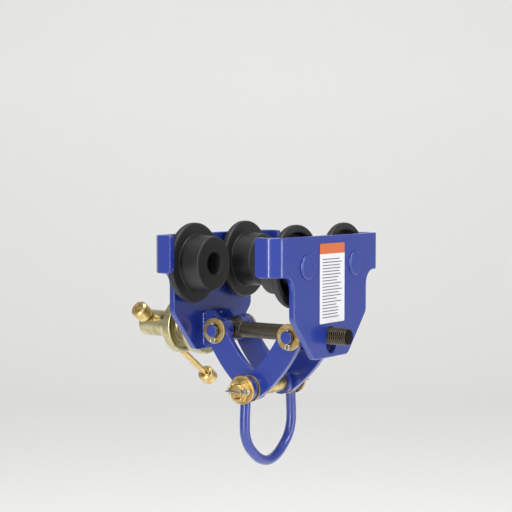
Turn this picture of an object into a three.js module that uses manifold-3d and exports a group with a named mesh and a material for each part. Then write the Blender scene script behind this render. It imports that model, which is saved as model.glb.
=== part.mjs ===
// Adjustable beam trolley with a swinging-link suspension and a shackle.
// Millimetres. +X runs along the spindle towards the plain end, +Y along the beam, +Z up.
// The origin is midway between the side plates and the wheel pairs, at the height where
// the wheel treads roll on the beam's lower flange.
import * as THREE from 'three';
import { mergeVertices } from 'three/addons/utils/BufferGeometryUtils.js';
import Module from 'manifold-3d';

const wasm = await Module();
wasm.setup();

// ---- driving dimensions ----
const GAP = 0.3;                  // between pieces that touch
const FLANGE_HALF = 50.8;         // half the width of the beam flange the trolley is set to
const SIDE_PLAY = 1.2;            // from the flange's edge to the wheel's rim

const PLATE_IN = 61.8;            // side plate's inner face
const PLATE_T = 6;
const PLATE_OUT = PLATE_IN + PLATE_T;
const PLATE_TOP = 52.5;
const PLATE_LOW = -56;
const WING_LOW = 18.5;            // underside of the bumper wings
const FLAT_HALF = 76;             // where the wing's first bend starts
const BEND_R = 8;                 // outer radius of both wing bends
const FACET = 5;                  // flat between the two bends
const WING_TIP_X = 45;
const BODY_HALF = 60.5;
const BODY_FILLET = 13;
const TAPER_TOP = -19;
const FOOT_HALF = 28;
const FOOT_R = 8;

const AXLE_Y = 40;
const AXLE_Z = 26;                // also the tread radius at its large end
const AXLE_R = 6;
const AXLE_END_X = 45.5;
const AXLE_SHOULDER_X = 58.4;
const BOSS_R = 11;                // head of the axle outside the plate
const BOSS_H = 1.8;
const RIM_R = 36.5;
const RIM_T = 6;
const WHEEL_OUT = FLANGE_HALF + SIDE_PLAY + RIM_T;
const WHEEL_IN = WHEEL_OUT - 26;
const RIM_BAND = 6.5;             // flat band round the wheel's outer face
const DISH = 5;                   // depth of the dished outer face
const TREAD_SMALL_R = 24.4;
const HUB_BORE_R = 10.5;
const BEARING_R = 14;
const BEARING_W = 8;
const CLIP_T = 1.1;

const SPINDLE_Z = -37;
const SPINDLE_R = 7.75;
const SPINDLE_NEAR = 86;
const SPINDLE_FAR = -141;
const SLOT_HALF = 8.7;
const SLOT_DROP = 6.5;

const TRUNNION_X = 43;
const TRUNNION_R = 11;
const TRUNNION_HALF = 10.2;
const PIVOT_R = 5.75;
const LUG_T = 6;
const LUG_Y = 10.5;               // lug's face nearest the spindle
const LUG_TOP = -20;
const LUG_LOW = -54;
const ARM_T = 5.7;
const ARM_HALF = 11.5;
const ARM_BOW = 4.5;              // sagitta of the arm's curved centre line
const FAR_ARM_Y = 21.15;          // middle of the arm's thickness
const NEAR_ARM_Y = 27.45;
const PIVOT_WASHER_R = 12;
const SPACER_R = 10.5;
const WASHER_T = 2;

const LOAD_Z = -86;
const LOAD_PIN_R = 6.35;
const LOAD_PIN_HALF = 52;
const EYE_Y = 36.45;
const EYE_R = 11;
const BAR_R = 4.75;
const BOW_HALF = 37.8;            // half the shackle's widest centre line
const BOW_WIDE_Z = -117;
const BOW_LOW = -156.3;
const NUT_AF = 19;
const NUT_BASE = 43.8;
const NUT_COTTER = 6.4;           // from the nut's seat to its split pin
const COTTER_R = 1.2;
const COTTER_EYE = 2.3;

const HUB_R = 12.5;
const HUB_PIN_X = -116;
const HUB_PIN_R = 2.2;
const HUB_FAR = -144;
const DISC_R = 26.5;
const DISC_FAR = -104;
const DISC_NEAR = -95;
const LOCK_FAR = -81.5;
const LOCK_NEAR = -68.3;
const BAR_X = -136;
const TOMMY_R = 3.3;
const TOMMY_DROP = 35;            // degrees the tommy bar points below the horizontal
const KNOB_R = 8.2;
const KNOB_L = 15;
const TOMMY_LONG = 108;           // from the spindle's axis to the lower knob's middle

const LABEL_W = 41.4;
const LABEL_TOP = 45.5;
const LABEL_LOW = -25;

// ---- finishes ----
const finish = (color, roughness, metalness) =>
  new THREE.MeshStandardMaterial({ color, roughness, metalness });
const bluePaint = () => finish(0x3a44a8, 0.35, 0.1);
const zincGold = () => finish(0xb9a567, 0.35, 0.9);
const zincWhite = () => finish(0xc9c6b4, 0.35, 0.9);
const blackOxide = () => finish(0x2a2723, 0.5, 0.6);
const castBlack = () => finish(0x1f2122, 0.6, 0.3);
const brightSteel = () => finish(0xb8babd, 0.3, 1.0);
const vinyl = () => finish(0xf2f2ee, 0.5, 0.0);

// ---- solids ----
function toSolid(geometry) {
  const bare = geometry.clone();
  bare.deleteAttribute('normal');
  bare.deleteAttribute('uv');
  const welded = mergeVertices(bare, 1e-4);
  return new wasm.Manifold(new wasm.Mesh({
    numProp: 3,
    vertProperties: new Float32Array(welded.attributes.position.array),
    triVerts: new Uint32Array(welded.index.array),
  }));
}

function toGeometry(solid) {
  const mesh = solid.getMesh();
  const geometry = new THREE.BufferGeometry();
  geometry.setAttribute('position', new THREE.BufferAttribute(new Float32Array(mesh.vertProperties), 3));
  geometry.setIndex(new THREE.BufferAttribute(new Uint32Array(mesh.triVerts), 1));
  geometry.computeVertexNormals();
  return geometry;
}

function join(...geometries) {
  return toGeometry(geometries.map(toSolid).reduce((whole, piece) => whole.add(piece)));
}

function cut(geometry, ...tools) {
  return toGeometry(tools.map(toSolid).reduce((whole, tool) => whole.subtract(tool), toSolid(geometry)));
}

// A shape drawn in Y and Z, given a thickness along X that starts at x.
function slabX(shape, x, thickness) {
  const geometry = new THREE.ExtrudeGeometry(shape, {
    depth: thickness, bevelEnabled: false, curveSegments: 5,
  });
  const axes = new THREE.Matrix4().makeBasis(
    new THREE.Vector3(0, 1, 0), new THREE.Vector3(0, 0, 1), new THREE.Vector3(1, 0, 0));
  return geometry.applyMatrix4(axes).translate(x, 0, 0);
}

// A shape drawn in X and Z, given a thickness along Y that is centred on y.
function slabY(shape, y, thickness, curveSegments = 8) {
  const geometry = new THREE.ExtrudeGeometry(shape, { depth: thickness, bevelEnabled: false, curveSegments });
  return geometry.rotateX(Math.PI / 2).translate(0, y + thickness / 2, 0);
}

// A closed profile of [radius, height] turned about Y; the profile runs anticlockwise.
function turned(profile, segments) {
  const points = [...profile, profile[0]].map(([r, h]) => new THREE.Vector2(r, h));
  return new THREE.LatheGeometry(points, segments);
}

function turnedX(profile, segments) {
  return turned(profile, segments).rotateZ(-Math.PI / 2);
}

function ringProfile(inner, outer, low, high) {
  return [[inner, low], [outer, low], [outer, high], [inner, high]];
}

function rodX(radius, from, to, segments = 16) {
  return new THREE.CylinderGeometry(radius, radius, to - from, segments)
    .rotateZ(-Math.PI / 2).translate((from + to) / 2, 0, 0);
}

function rodY(radius, from, to, segments = 16) {
  return new THREE.CylinderGeometry(radius, radius, to - from, segments).translate(0, (from + to) / 2, 0);
}

function rodZ(radius, from, to, segments = 10) {
  return new THREE.CylinderGeometry(radius, radius, to - from, segments)
    .rotateX(Math.PI / 2).translate(0, 0, (from + to) / 2);
}

// ---- scene graph ----
const trolley = new THREE.Group();

function add(name, geometry, material, position = [0, 0, 0], turn = 0) {
  const mesh = new THREE.Mesh(geometry, material);
  mesh.name = name;
  mesh.position.set(...position);
  mesh.rotation.z = turn;
  trolley.add(mesh);
}

const SIDES = [
  { side: 'near', sign: 1, turn: 0, armY: NEAR_ARM_Y },
  { side: 'far', sign: -1, turn: Math.PI, armY: FAR_ARM_Y },
];
const ENDS = [
  { end: 'front', dir: -1 },
  { end: 'rear', dir: 1 },
];

// ---- side plates ----
// Plan outline of the bent head: the outer surface out to one wing tip, then back along the inner one.
function wingSurface(radius, offset) {
  const points = [];
  const startX = PLATE_OUT - BEND_R;
  for (let step = 0; step <= 3; step += 1) {
    const angle = (step / 3) * Math.PI / 4;
    points.push([startX + radius * Math.cos(angle), FLAT_HALF + radius * Math.sin(angle)]);
  }
  const slide = FACET * Math.SQRT1_2;
  for (let step = 0; step <= 3; step += 1) {
    const angle = Math.PI / 4 + (step / 3) * Math.PI / 4;
    points.push([startX - slide + radius * Math.cos(angle), FLAT_HALF + slide + radius * Math.sin(angle)]);
  }
  points.push([WING_TIP_X, FLAT_HALF + slide + radius]);
  return points.map(([x, y]) => [x - offset, y]);
}

function bentHead() {
  const outer = wingSurface(BEND_R, 0);
  const inner = wingSurface(BEND_R - PLATE_T, 0);
  const mirror = ([x, y]) => [x, -y];
  const loop = [...outer, ...inner.reverse(), ...inner.reverse().map(mirror), ...outer.reverse().map(mirror)];
  const shape = new THREE.Shape(loop.map(([x, y]) => new THREE.Vector2(x, y)));
  return new THREE.ExtrudeGeometry(shape, { depth: PLATE_TOP - WING_LOW, bevelEnabled: false })
    .translate(0, 0, WING_LOW);
}

function plateBody() {
  const flare = BODY_HALF + BODY_FILLET;
  const shape = new THREE.Shape();
  shape.moveTo(-flare, WING_LOW + 1);
  shape.lineTo(-flare, WING_LOW);
  shape.absarc(-flare, WING_LOW - BODY_FILLET, BODY_FILLET, Math.PI / 2, 0, true);
  shape.lineTo(-BODY_HALF, TAPER_TOP);
  shape.lineTo(-FOOT_HALF - FOOT_R * 0.35, PLATE_LOW + FOOT_R * 0.4);
  shape.quadraticCurveTo(-FOOT_HALF, PLATE_LOW, -FOOT_HALF + FOOT_R, PLATE_LOW);
  shape.lineTo(FOOT_HALF - FOOT_R, PLATE_LOW);
  shape.quadraticCurveTo(FOOT_HALF, PLATE_LOW, FOOT_HALF + FOOT_R * 0.35, PLATE_LOW + FOOT_R * 0.4);
  shape.lineTo(BODY_HALF, TAPER_TOP);
  shape.lineTo(BODY_HALF, WING_LOW - BODY_FILLET);
  shape.absarc(flare, WING_LOW - BODY_FILLET, BODY_FILLET, Math.PI, Math.PI / 2, true);
  shape.lineTo(flare, WING_LOW + 1);
  return slabX(shape, PLATE_IN, PLATE_T);
}

function spindleSlot() {
  const shape = new THREE.Shape();
  shape.absarc(0, SPINDLE_Z, SLOT_HALF, 0, Math.PI, false);
  shape.absarc(0, SPINDLE_Z - SLOT_DROP, SLOT_HALF, Math.PI, 2 * Math.PI, false);
  return slabX(shape, PLATE_IN - 1, PLATE_T + 2);
}

function sidePlate() {
  const bores = [-AXLE_Y, AXLE_Y].map((y) =>
    rodX(8 + GAP, PLATE_IN - 1, PLATE_OUT + 1, 20).translate(0, y, AXLE_Z));
  return cut(join(bentHead(), plateBody()), spindleSlot(), ...bores);
}

for (const { side, turn } of SIDES) {
  add(`side_plate_${side}`, sidePlate(), bluePaint(), [0, 0, 0], turn);
}

// ---- axles, wheels and bearings ----
function axle() {
  return turnedX([
    [0, AXLE_END_X], [AXLE_R, AXLE_END_X],
    [AXLE_R, 48], [AXLE_R - 0.7, 48], [AXLE_R - 0.7, 49.7], [AXLE_R, 49.7],
    [AXLE_R, AXLE_SHOULDER_X], [10, AXLE_SHOULDER_X], [10, PLATE_IN - GAP], [8, PLATE_IN - GAP],
    [8, PLATE_OUT + GAP], [BOSS_R, PLATE_OUT + GAP], [BOSS_R, PLATE_OUT + BOSS_H - 0.8],
    [BOSS_R - 0.8, PLATE_OUT + BOSS_H], [0, PLATE_OUT + BOSS_H],
  ], 16);
}

function wheel() {
  return turnedX([
    [HUB_BORE_R, WHEEL_IN], [TREAD_SMALL_R, WHEEL_IN], [AXLE_Z, WHEEL_OUT - RIM_T],
    [RIM_R - 1.5, WHEEL_OUT - RIM_T], [RIM_R, WHEEL_OUT - RIM_T + 1.5], [RIM_R, WHEEL_OUT],
    [RIM_R - RIM_BAND, WHEEL_OUT], [RIM_R - RIM_BAND - 1, WHEEL_OUT - DISH], [19, WHEEL_OUT - DISH],
    [18, WHEEL_OUT], [BEARING_R + GAP, WHEEL_OUT], [BEARING_R + GAP, WHEEL_OUT - BEARING_W - GAP],
    [HUB_BORE_R, WHEEL_OUT - BEARING_W - GAP],
  ], 24);
}

function bearing() {
  return turnedX(ringProfile(AXLE_R + GAP, BEARING_R, WHEEL_OUT - BEARING_W, WHEEL_OUT), 16);
}

function axleClip() {
  const clip = new THREE.Shape();
  const open = 0.45;
  clip.absarc(0, 0, 9, open, 2 * Math.PI - open, false);
  clip.absarc(0, 0, AXLE_R - 0.35, 2 * Math.PI - open, open, true);
  return slabX(clip, 48.3, CLIP_T);
}

for (const { side, turn } of SIDES) {
  for (const { end, dir } of ENDS) {
    const place = [0, dir * AXLE_Y, AXLE_Z];
    add(`axle_${side}_${end}`, axle(), bluePaint(), place, turn);
    add(`wheel_${side}_${end}`, wheel(), castBlack(), place, turn);
    add(`wheel_bearing_${side}_${end}`, bearing(), brightSteel(), place, turn);
    add(`axle_clip_${side}_${end}`, axleClip(), brightSteel(), place, turn);
  }
}

// ---- lugs and trunnions ----
function lug() {
  const root = PLATE_IN - GAP;
  const shape = new THREE.Shape();
  shape.moveTo(root, LUG_LOW);
  shape.lineTo(root, LUG_TOP);
  shape.lineTo(TRUNNION_X + 8, LUG_TOP);
  shape.absarc(TRUNNION_X, SPINDLE_Z, ARM_HALF, Math.PI * 0.4, Math.PI * 1.5, false);
  const hole = new THREE.Path();
  hole.absarc(TRUNNION_X, SPINDLE_Z, PIVOT_R + GAP, 0, 2 * Math.PI, false);
  shape.holes.push(hole);
  return slabY(shape, 0, LUG_T, 7);
}

function trunnion(pinHalf, cotterY) {
  const bar = turned([
    [0, -pinHalf], [PIVOT_R - 0.8, -pinHalf], [PIVOT_R, -pinHalf + 0.8], [PIVOT_R, -TRUNNION_HALF],
    [TRUNNION_R, -TRUNNION_HALF], [TRUNNION_R, TRUNNION_HALF], [PIVOT_R, TRUNNION_HALF],
    [PIVOT_R, pinHalf - 0.8], [PIVOT_R - 0.8, pinHalf], [0, pinHalf],
  ], 18);
  const thread = rodX(SPINDLE_R + GAP, -TRUNNION_R - 1, TRUNNION_R + 1, 20);
  const frontHole = rodZ(COTTER_R + GAP, -8, 8, 8).translate(0, -cotterY, 0);
  const rearHole = rodX(COTTER_R + GAP, -8, 8, 8).translate(0, cotterY, 0);
  return cut(bar, thread, frontHole, rearHole);
}

// ---- split pins: a round shank with a ring eye on its end, along Z ----

function cotter(reach, length) {
  const eye = new THREE.TorusGeometry(COTTER_EYE, 0.9, 5, 10).rotateX(Math.PI / 2)
    .translate(0, 0, -reach - COTTER_EYE);
  const shank = rodZ(COTTER_R, -reach - 0.6, length, 6);
  return join(eye, shank);
}

for (const { side, sign, turn, armY } of SIDES) {
  const washerY = armY + ARM_T / 2 + GAP + WASHER_T / 2;
  const cotterY = washerY + WASHER_T / 2 + 1.9;
  const spacerFrom = LUG_Y + LUG_T + GAP;
  const spacerTo = armY - ARM_T / 2 - GAP;
  add(`trunnion_${side}`, trunnion(cotterY + 2.4, cotterY), blackOxide(), [sign * TRUNNION_X, 0, SPINDLE_Z]);
  for (const { end, dir } of ENDS) {
    const lugY = dir * sign * (LUG_Y + LUG_T / 2);
    const lugPiece = lug().translate(0, lugY, 0);
    add(`lug_${side}_${end}`, lugPiece, bluePaint(), [0, 0, 0], turn);
    const washer = turned(ringProfile(PIVOT_R + GAP, PIVOT_WASHER_R, -WASHER_T / 2, WASHER_T / 2), 20);
    add(`pivot_washer_${side}_${end}`, washer, zincGold(), [sign * TRUNNION_X, dir * washerY, SPINDLE_Z]);
    const spacer = turned(ringProfile(PIVOT_R + GAP, SPACER_R, spacerFrom, spacerTo), 16);
    add(`pivot_spacer_${side}_${end}`, dir > 0 ? spacer : spacer.rotateX(Math.PI), zincGold(),
      [sign * TRUNNION_X, 0, SPINDLE_Z]);
    const upright = cotter(PIVOT_R + 0.4, PIVOT_R + 1.2);
    const pin = dir < 0 ? upright : cotter(PIVOT_R + 0.4, 14).rotateY(Math.PI / 2);
    add(`pivot_cotter_${side}_${end}`, pin, brightSteel(), [sign * TRUNNION_X, dir * cotterY, SPINDLE_Z]);
  }
}

// ---- curved arms ----
// The centre line is an arc from the trunnion to the load pin, bowed away from the middle.
function arm() {
  const top = new THREE.Vector2(TRUNNION_X, SPINDLE_Z);
  const low = new THREE.Vector2(0, LOAD_Z);
  const chord = top.distanceTo(low);
  const radius = (chord * chord / 4 + ARM_BOW * ARM_BOW) / (2 * ARM_BOW);
  const along = low.clone().sub(top).normalize();
  const inward = new THREE.Vector2(along.y, -along.x);
  const centre = top.clone().add(low).multiplyScalar(0.5).addScaledVector(inward, radius - ARM_BOW);
  const angleOf = (point) => Math.atan2(point.y - centre.y, point.x - centre.x);
  const topAngle = angleOf(top);
  const lowAngle = angleOf(low);
  const shape = new THREE.Shape();
  shape.absarc(centre.x, centre.y, radius + ARM_HALF, topAngle, lowAngle, true);
  shape.absarc(low.x, low.y, ARM_HALF, lowAngle, lowAngle - Math.PI, true);
  shape.absarc(centre.x, centre.y, radius - ARM_HALF, lowAngle, topAngle, false);
  shape.absarc(top.x, top.y, ARM_HALF, topAngle + Math.PI, topAngle, true);
  for (const [point, hole] of [[top, PIVOT_R + GAP], [low, LOAD_PIN_R + GAP]]) {
    const bore = new THREE.Path();
    bore.absarc(point.x, point.y, hole, 0, 2 * Math.PI, false);
    shape.holes.push(bore);
  }
  return slabY(shape, 0, ARM_T, 6);
}

for (const { side, turn, armY } of SIDES) {
  for (const { end, dir } of ENDS) {
    add(`arm_${side}_${end}`, arm(), bluePaint(), [0, dir * armY, 0], turn);
  }
}

// ---- load pin, its nuts and washers ----
function loadPin() {
  const tip = LOAD_PIN_HALF - 1;
  const pin = turned([
    [0, -LOAD_PIN_HALF], [LOAD_PIN_R - 1, -LOAD_PIN_HALF], [LOAD_PIN_R, -tip],
    [LOAD_PIN_R, tip], [LOAD_PIN_R - 1, LOAD_PIN_HALF], [0, LOAD_PIN_HALF],
  ], 20);
  const crossHole = rodX(COTTER_R + GAP, -8, 8, 10);
  const holes = [-1, 1].map((dir) => crossHole.clone().translate(0, dir * (NUT_BASE + NUT_COTTER), 0));
  return cut(pin, ...holes);
}

function castleNut() {
  const hexR = NUT_AF / Math.sqrt(3);
  const hex = rodY(hexR, NUT_BASE, NUT_BASE + 4.6, 6);
  const crown = rodY(8.3, NUT_BASE + 4.5, NUT_BASE + 7.6, 18);
  const bore = rodY(LOAD_PIN_R + GAP, NUT_BASE - 1, NUT_BASE + 9, 20);
  const slots = [0, 1, 2].map((turn) => new THREE.BoxGeometry(24, 3.4, 3.4)
    .rotateY(turn * Math.PI / 3).translate(0, NUT_BASE + 6.6, 0));
  return cut(join(hex, crown), bore, ...slots);
}

add('load_pin', loadPin(), zincGold(), [0, 0, LOAD_Z]);
const tubeHalf = FAR_ARM_Y - ARM_T / 2 - GAP;
const spacerTube = turned(ringProfile(LOAD_PIN_R + GAP, 8.6, -tubeHalf, tubeHalf), 20);
add('spacer_tube', spacerTube, zincGold(), [0, 0, LOAD_Z]);

for (const { end, dir } of ENDS) {
  const flip = dir > 0 ? 0 : Math.PI;
  const thinFrom = NEAR_ARM_Y + ARM_T / 2 + GAP;
  const thin = turned(ringProfile(LOAD_PIN_R + GAP, 12.2, thinFrom, thinFrom + 0.9), 20);
  const wide = turned(ringProfile(LOAD_PIN_R + GAP, 13, NUT_BASE - GAP - WASHER_T, NUT_BASE - GAP), 20);
  const pin = cotter(8.6, 10).rotateY(Math.PI / 2).translate(0, NUT_BASE + NUT_COTTER, 0);
  add(`eye_washer_${end}`, thin, zincGold(), [0, 0, LOAD_Z], flip);
  add(`nut_washer_${end}`, wide, zincGold(), [0, 0, LOAD_Z], flip);
  add(`castle_nut_${end}`, castleNut(), zincGold(), [0, 0, LOAD_Z], flip);
  add(`nut_cotter_${end}`, pin, brightSteel(), [0, 0, LOAD_Z], flip);
}

// ---- shackle ----
function shackle() {
  const half = [
    [EYE_Y, LOAD_Z - 8], [EYE_Y + 0.7, LOAD_Z - 18], [BOW_HALF, BOW_WIDE_Z],
    [BOW_HALF - 0.6, BOW_WIDE_Z - 10], [BOW_HALF - 5, BOW_WIDE_Z - 20],
    [BOW_HALF - 13, BOW_LOW + 10.8], [BOW_HALF * 0.36, BOW_LOW + 3.3],
  ];
  const line = [...half, [0, BOW_LOW], ...half.map(([y, z]) => [-y, z]).reverse()];
  const points = line.map(([y, z]) => new THREE.Vector3(0, y, z));
  const path = new THREE.CatmullRomCurve3(points, false, 'centripetal');
  const section = new THREE.Shape();
  section.absarc(0, 0, BAR_R, 0, 2 * Math.PI, false);
  const bar = new THREE.ExtrudeGeometry(section, { steps: 36, extrudePath: path, curveSegments: 5 });
  const eyes = [-1, 1].map((dir) =>
    turned(ringProfile(LOAD_PIN_R + GAP, EYE_R, dir * EYE_Y - BAR_R, dir * EYE_Y + BAR_R), 20)
      .translate(0, 0, LOAD_Z));
  return join(bar, ...eyes);
}

add('shackle', shackle(), bluePaint());

// ---- spindle, hub, lock wheel and tommy bar ----
function spindle() {
  const rod = turnedX([
    [0, SPINDLE_FAR], [SPINDLE_R - 1, SPINDLE_FAR], [SPINDLE_R, SPINDLE_FAR + 1],
    [SPINDLE_R, SPINDLE_NEAR - 1.5], [SPINDLE_R - 1.5, SPINDLE_NEAR], [0, SPINDLE_NEAR],
  ], 20);
  const barHole = rodZ(TOMMY_R + 0.6, -12, 12, 12).translate(BAR_X, 0, 0);
  const pinHole = rodZ(HUB_PIN_R + GAP, -12, 12, 10).translate(HUB_PIN_X, 0, 0);
  return cut(rod, pinHole, barHole);
}

function hub() {
  const body = turnedX([
    [SPINDLE_R + GAP, HUB_FAR], [HUB_R - 1, HUB_FAR], [HUB_R, HUB_FAR + 1],
    [HUB_R, DISC_FAR], [DISC_R - 1, DISC_FAR], [DISC_R, DISC_FAR + 1], [DISC_R, DISC_NEAR - 1],
    [DISC_R - 1, DISC_NEAR], [DISC_R - 4, DISC_NEAR], [DISC_R - 5, DISC_NEAR - 3],
    [15, DISC_NEAR - 3], [14, DISC_NEAR], [SPINDLE_R + GAP, DISC_NEAR],
  ], 24);
  const barHole = rodZ(TOMMY_R + 0.6, -16, 16, 12).translate(BAR_X, 0, 0);
  const pinHole = rodZ(HUB_PIN_R + GAP, -16, 16, 10).translate(HUB_PIN_X, 0, 0);
  return cut(body, barHole, pinHole);
}

function lockWheel() {
  return turnedX([
    [SPINDLE_R + GAP, LOCK_FAR], [14, LOCK_FAR], [15, LOCK_FAR + 2.5], [DISC_R - 5, LOCK_FAR + 2.5],
    [DISC_R - 4, LOCK_FAR], [DISC_R - 1.5, LOCK_FAR], [DISC_R - 0.5, LOCK_FAR + 1],
    [DISC_R - 0.5, LOCK_NEAR - 1], [DISC_R - 1.5, LOCK_NEAR], [SPINDLE_R + GAP, LOCK_NEAR],
  ], 24);
}

const hubWasherNear = DISC_NEAR + GAP + WASHER_T;
const hubWasher = turnedX(ringProfile(SPINDLE_R + GAP, 13.5, DISC_NEAR + GAP, hubWasherNear), 18);
const hubPin = rodZ(HUB_PIN_R, 0.2 - HUB_R, HUB_R - 0.2, 10).translate(HUB_PIN_X, 0, 0);
const knobFar = HUB_R + 0.5 + KNOB_L;
const knobProfile = [
  [TOMMY_R + GAP, -KNOB_L / 2], [KNOB_R - 2, -KNOB_L / 2], [KNOB_R, 1.8 - KNOB_L / 2],
  [KNOB_R, KNOB_L / 2 - 1.8], [KNOB_R - 2, KNOB_L / 2], [TOMMY_R + GAP, KNOB_L / 2],
];

add('hub_washer', hubWasher, zincGold(), [0, 0, SPINDLE_Z]);
add('lock_wheel', lockWheel(), zincWhite(), [0, 0, SPINDLE_Z]);

// What turns with the spindle is drawn with the tommy bar along Z, then turned about X.
const turning = new THREE.Group();
turning.position.set(0, 0, SPINDLE_Z);
turning.rotation.x = THREE.MathUtils.degToRad(90 - TOMMY_DROP);
trolley.add(turning);

function addTurning(name, geometry, material) {
  const mesh = new THREE.Mesh(geometry, material);
  mesh.name = name;
  turning.add(mesh);
}

const tommyBar = rodZ(TOMMY_R, 1 - TOMMY_LONG - KNOB_L / 2, knobFar - 1, 12).translate(BAR_X, 0, 0);
const knob = (z) => turned(knobProfile, 16).rotateX(Math.PI / 2).translate(BAR_X, 0, z);
addTurning('spindle', spindle(), blackOxide());
addTurning('hub', hub(), zincWhite());
addTurning('hub_pin', hubPin, blackOxide());
addTurning('tommy_bar', tommyBar, zincGold());
addTurning('tommy_knob_long', knob(-TOMMY_LONG), zincGold());
addTurning('tommy_knob_short', knob(knobFar - KNOB_L / 2), zincGold());

// ---- label ----
function label() {
  const half = LABEL_W / 2;
  const shape = new THREE.Shape();
  shape.moveTo(-half, LABEL_LOW);
  shape.lineTo(half, LABEL_LOW);
  shape.lineTo(half, LABEL_TOP);
  shape.lineTo(-half, LABEL_TOP);
  return slabX(shape, PLATE_OUT + GAP, 0.4);
}

add('label', label(), vinyl());

export default trolley;
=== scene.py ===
from math import asin, atan2, copysign, cos, degrees, hypot, pi, radians, sin, sqrt, tan

import bmesh
import bpy
import numpy as np
from mathutils import Euler, Matrix, Vector


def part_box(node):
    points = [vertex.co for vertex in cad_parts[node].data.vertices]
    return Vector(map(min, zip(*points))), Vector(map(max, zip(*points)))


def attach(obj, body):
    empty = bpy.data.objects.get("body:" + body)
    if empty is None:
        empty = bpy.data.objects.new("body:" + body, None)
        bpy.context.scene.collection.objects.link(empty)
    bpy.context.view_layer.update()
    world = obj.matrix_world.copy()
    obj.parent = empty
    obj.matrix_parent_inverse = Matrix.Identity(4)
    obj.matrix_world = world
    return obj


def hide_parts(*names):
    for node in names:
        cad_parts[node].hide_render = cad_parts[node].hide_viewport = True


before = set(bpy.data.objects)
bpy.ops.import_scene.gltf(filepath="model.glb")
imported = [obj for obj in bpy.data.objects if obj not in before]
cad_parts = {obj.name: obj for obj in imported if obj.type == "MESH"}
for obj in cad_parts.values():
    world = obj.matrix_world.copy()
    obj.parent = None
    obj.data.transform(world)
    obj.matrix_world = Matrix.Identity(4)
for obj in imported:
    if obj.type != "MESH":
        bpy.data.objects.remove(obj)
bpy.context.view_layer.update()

MM = 0.001


def linear(code):
    """An sRGB hex colour as linear red, green and blue, and a full alpha."""
    channels = [int(code[i:i + 2], 16) / 255 for i in (1, 3, 5)]
    return (*[c / 12.92 if c <= 0.04045 else ((c + 0.055) / 1.055) ** 2.4 for c in channels], 1.0)


def feed(tree, node, inputs):
    """Sets or links a node's input sockets. A node that is given stands for its first output."""
    for socket, value in inputs.items():
        if isinstance(value, bpy.types.Node):
            value = value.outputs[0]
        if isinstance(value, bpy.types.NodeSocket):
            tree.links.new(value, node.inputs[socket])
        else:
            node.inputs[socket].default_value = value


def add(tree, kind, inputs=None, **settings):
    """Adds a node to a tree, with its settings, and feeds its input sockets."""
    made = tree.nodes.new(kind)
    for name, value in settings.items():
        setattr(made, name, value)
    feed(tree, made, inputs or {})
    return made


def surface(name, **constants):
    """A new material, with its node tree and its shader. The shader's plain values are set."""
    material = bpy.data.materials.new(name)
    material.use_nodes = True
    tree = material.node_tree
    shader = tree.nodes["Principled BSDF"]
    for socket, value in constants.items():
        shader.inputs[socket.replace("_", " ")].default_value = value
    return material, tree, shader


FLOOR_DROP = 0.62
SWEEP_FRONT = -6.0
SWEEP_BACK = 3.2
SWEEP_TOP = 5.0
SWEEP_WIDTH = 9.0
SWEEP_CURVE = 1.2
SWEEP_TURN = radians(34.8)
SWEEP_GLOW = 0.1

paper, _, _ = surface("matt white paper sweep", Base_Color=linear("#F4F4F3"), Roughness=0.9,
                      Emission_Color=linear("#FFFFFF"), Emission_Strength=SWEEP_GLOW)
sweep_line = [(SWEEP_FRONT, 0.0), (SWEEP_BACK, 0.0)]
sweep_line += [(SWEEP_BACK + SWEEP_CURVE * sin(a), SWEEP_CURVE * (1 - cos(a)))
               for a in np.linspace(0.1, 1.5, 12)]
sweep_line += [(SWEEP_BACK + SWEEP_CURVE, SWEEP_TOP)]
sweep_points = [(side * SWEEP_WIDTH / 2, y, z - FLOOR_DROP) for y, z in sweep_line for side in (-1, 1)]
sweep_faces = [(2 * i, 2 * i + 1, 2 * i + 3, 2 * i + 2) for i in range(len(sweep_line) - 1)]
sweep_mesh = bpy.data.meshes.new("sweep")
sweep_mesh.from_pydata(sweep_points, [], sweep_faces)
sweep_mesh.transform(Matrix.Rotation(SWEEP_TURN, 4, "Z"))
sweep_mesh.materials.append(paper)
sweep_mesh.shade_smooth()
sweep = bpy.data.objects.new("sweep", sweep_mesh)
bpy.context.collection.objects.link(sweep)

ROOM_LIGHT = 0.4
ROOM_SEEN = 1.0

world = bpy.data.worlds.new("white room")
bpy.context.scene.world = world
world.use_nodes = True
room = world.node_tree
seen = add(room, "ShaderNodeLightPath").outputs["Is Camera Ray"]
level = add(room, "ShaderNodeMapRange", {"Value": seen, "To Min": ROOM_LIGHT, "To Max": ROOM_SEEN})
feed(room, room.nodes["Background"], {"Color": linear("#FFFFFF"), "Strength": level})
bpy.context.scene.view_settings.view_transform = "Standard"


def soft_box(name, side, distance, width, height, power):
    """A rectangular lamp that faces the trolley from one side."""
    lamp = bpy.data.lights.new(name, "AREA")
    lamp.shape = "RECTANGLE"
    lamp.size = width
    lamp.size_y = height
    lamp.energy = power
    holder = bpy.data.objects.new(name, lamp)
    towards = Vector(side).normalized()
    holder.location = towards * distance
    holder.rotation_euler = towards.to_track_quat("Z", "Y").to_euler()
    bpy.context.collection.objects.link(holder)


soft_box("right_box", (0.98, 0.18, 0.2), 2.4, 0.28, 2.2, 32)
soft_box("left_box", (0.18, -0.98, 0.2), 2.4, 0.26, 2.2, 42)
soft_box("front_box", (0.75, -0.95, 0.75), 2.6, 1.1, 1.1, 8)
soft_box("top_box", (0.1, -0.1, 1.0), 2.2, 1.6, 1.6, 40)

CAMERA_PLACE = (0.6944, -1.01975, 0.0988)
CAMERA_AZIMUTH = 34.79
CAMERA_PITCH = 3.104
CAMERA_LENS = 95.1
SENSOR_WIDTH = 36

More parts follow.
